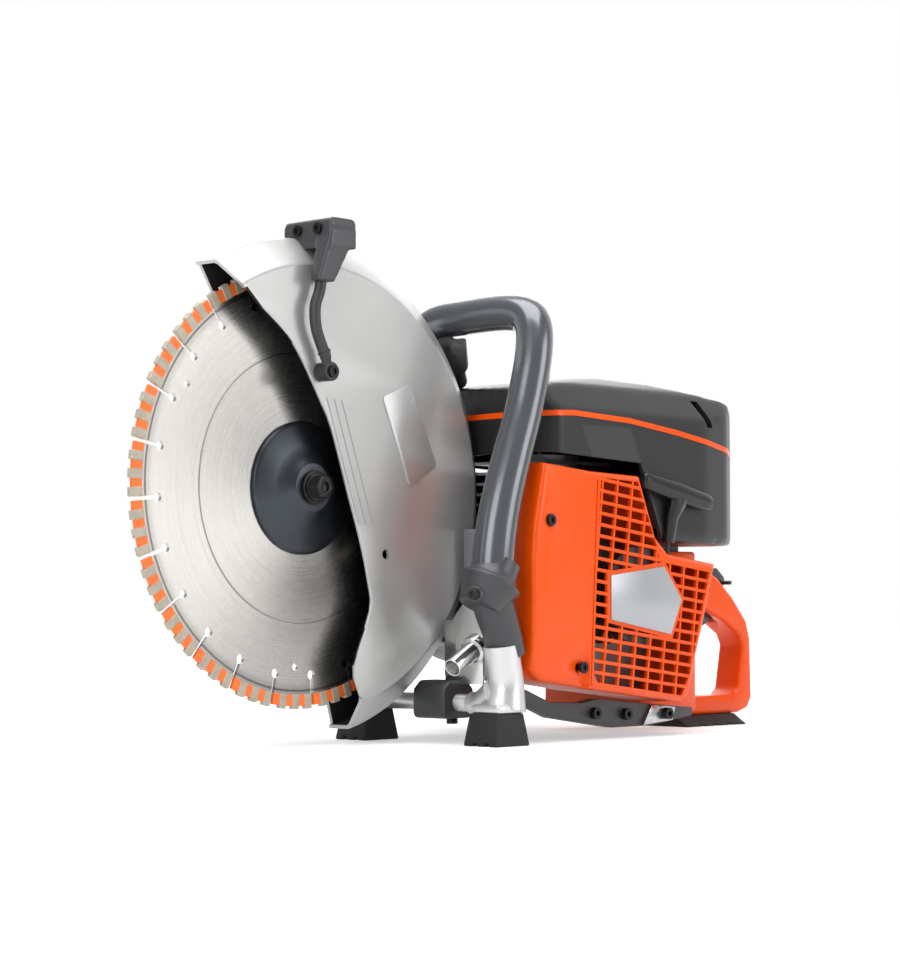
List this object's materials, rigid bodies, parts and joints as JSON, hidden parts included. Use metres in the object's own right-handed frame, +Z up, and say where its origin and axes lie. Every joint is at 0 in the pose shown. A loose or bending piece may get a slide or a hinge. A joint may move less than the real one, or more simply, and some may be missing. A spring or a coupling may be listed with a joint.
{
  "type": "rescue saw",
  "caption": "Petrol-engined rescue saw: abrasive/diamond cutting blade on a belt-driven arm under a tilting guard, wrap-round front handle and looped rear handle.",
  "frame": {"origin": "on the floor under the centre of the saw's bounding box", "axes": "+X from the blade to the rear handle, +Y to the clutch side (the starter is on -Y), +Z up; the blade lies in the XZ plane"},
  "size_m": [0.756, 0.238, 0.416],
  "materials": {
    "blade_steel": "ground steel core with radial polish",
    "segment": "sintered diamond matrix with painted recesses",
    "dark_steel": "satin dark coating",
    "black_steel": "black oxide",
    "steel": "machined steel",
    "cast_silver": "silver powder coat on a magnesium casting",
    "cast_grey": "raw casting",
    "front_casting": "bright cast aluminium",
    "grey_plastic": "grained dark grey moulding",
    "orange_plastic": "smooth orange moulding",
    "stripe": "orange trim",
    "plate": "brushed silver plate, bare",
    "bracket_grey": "grey zinc plate",
    "handle_coat": "satin dark grey coating",
    "muffler_steel": "bright stainless sheet",
    "black_plastic": "black moulding",
    "red_plastic": "red switch",
    "blue_plastic": "blue button",
    "rubber": "moulded rubber",
    "rope": "braided starter cord",
    "filter": "pleated paper",
    "ceramic": "white glazed insulator"
  },
  "bodies": {
    "root": {"cutting_arm": "cast_grey", "spindle_bearings": "steel", "drive_belt": "rubber", "belt_guard": "grey_plastic", "clutch_cover": "grey_plastic", "crankcase": "cast_grey", "cylinder": "cast_grey", "spark_plug": "ceramic", "muffler": "muffler_steel", "heat_shield": "muffler_steel", "exhaust_stub": "muffler_steel", "carburettor": "cast_grey", "air_filter": "filter", "top_cover": "grey_plastic", "cover_stripe": "stripe", "cover_screws": "black_steel", "filter_base": "grey_plastic", "starter_cover": "orange_plastic", "starter_plate": "plate", "fuel_tank": "orange_plastic", "rear_handle": "orange_plastic", "decompression_valve": "cast_grey", "front_handle": "handle_coat", "handle_sleeve": "grey_plastic", "front_support": "front_casting", "cross_member": "front_casting", "front_feet": "rubber", "rear_foot": "rubber", "side_bracket": "grey_plastic", "bracket_plate": "bracket_grey", "frame_screws": "black_steel", "handle_bracket": "grey_plastic", "av_mounts": "rubber"},
    "blade": {"blade_core": "blade_steel", "blade_segments": "segment", "inner_flange": "dark_steel", "outer_flange": "dark_steel", "bolt_washer": "black_steel", "blade_bolt": "black_steel", "spindle_shaft": "steel", "driven_pulley": "steel"},
    "clutch_drum": {"clutch_drum": "steel"},
    "crankshaft": {"crankshaft": "steel", "flywheel": "cast_grey", "clutch_shoes": "steel"},
    "piston": {"piston": "cast_grey"},
    "guard": {"blade_guard": "cast_silver", "guard_grip": "grey_plastic", "guard_screws": "black_steel", "water_hose": "rubber", "water_nozzle": "black_plastic"},
    "starter_grip": {"starter_handle": "black_plastic", "starter_rope": "rope"},
    "starter_pulley": {"starter_pulley": "black_plastic"},
    "trigger": {"throttle_trigger": "black_plastic"},
    "lockout": {"throttle_lockout": "black_plastic"},
    "stop_switch": {"stop_switch": "red_plastic"},
    "choke": {"choke_knob": "black_plastic"},
    "decompression": {"decompression_button": "blue_plastic"},
    "fuel_cap": {"fuel_cap": "black_plastic"}
  },
  "joints": [
    {"name": "blade_spin", "type": "hinge", "parent": "root", "child": "blade", "pos_m": [-0.203, 0, 0.205], "axis": [0, 1, 0], "continuous": true},
    {"name": "drum_spin", "type": "hinge", "parent": "root", "child": "clutch_drum", "pos_m": [0.087, 0, 0.12], "axis": [0, 1, 0], "continuous": true},
    {"name": "crank_spin", "type": "hinge", "parent": "root", "child": "crankshaft", "pos_m": [0.087, 0, 0.12], "axis": [0, 1, 0], "continuous": true},
    {"name": "piston_stroke", "type": "slide", "parent": "root", "child": "piston", "axis": [0, 0, 1], "range_m": [-0.036, 0]},
    {"name": "guard_tilt", "type": "hinge", "parent": "root", "child": "guard", "pos_m": [-0.203, 0, 0.205], "axis": [0, 1, 0], "range_deg": [-40, 12]},
    {"name": "starter_pull", "type": "slide", "parent": "root", "child": "starter_grip", "axis": [0, 0, 1], "range_m": [0, 0.45], "stiffness_N_per_m": 20, "springref_m": -0.15},
    {"name": "starter_pulley_spin", "type": "hinge", "parent": "root", "child": "starter_pulley", "pos_m": [0.087, 0, 0.12], "axis": [0, -1, 0], "range_deg": [0, 600]},
    {"name": "throttle_squeeze", "type": "hinge", "parent": "root", "child": "trigger", "pos_m": [0.287, 0, 0.122], "axis": [0, -1, 0], "range_deg": [0, 12], "stiffness_Nm_per_rad": 0.3, "springref_deg": -8.59},
    {"name": "lockout_press", "type": "hinge", "parent": "root", "child": "lockout", "pos_m": [0.344, 0, 0.133], "axis": [0, -1, 0], "range_deg": [0, 9], "stiffness_Nm_per_rad": 0.2, "springref_deg": -8.59},
    {"name": "stop_slide", "type": "slide", "parent": "root", "child": "stop_switch", "axis": [1, 0, 0], "range_m": [0, 0.007]},
    {"name": "choke_pull", "type": "slide", "parent": "root", "child": "choke", "axis": [0, 1, 0], "range_m": [0, 0.012]},
    {"name": "decompression_press", "type": "slide", "parent": "root", "child": "decompression", "axis": [0, -1, 0], "range_m": [0, 0.004], "stiffness_N_per_m": 300, "springref_m": -0.003},
    {"name": "fuel_cap_turn", "type": "hinge", "parent": "root", "child": "fuel_cap", "pos_m": [0.195, 0.056, 0.084], "axis": [0, 1, 0], "range_deg": [-90, 0]}
  ],
  "couplings": [
    {"joint": "drum_spin", "follows": "blade_spin", "ratio": 1.9802},
    {"joint": "starter_pulley_spin", "follows": "starter_pull", "rad_per_m": 22.548}
  ]
}
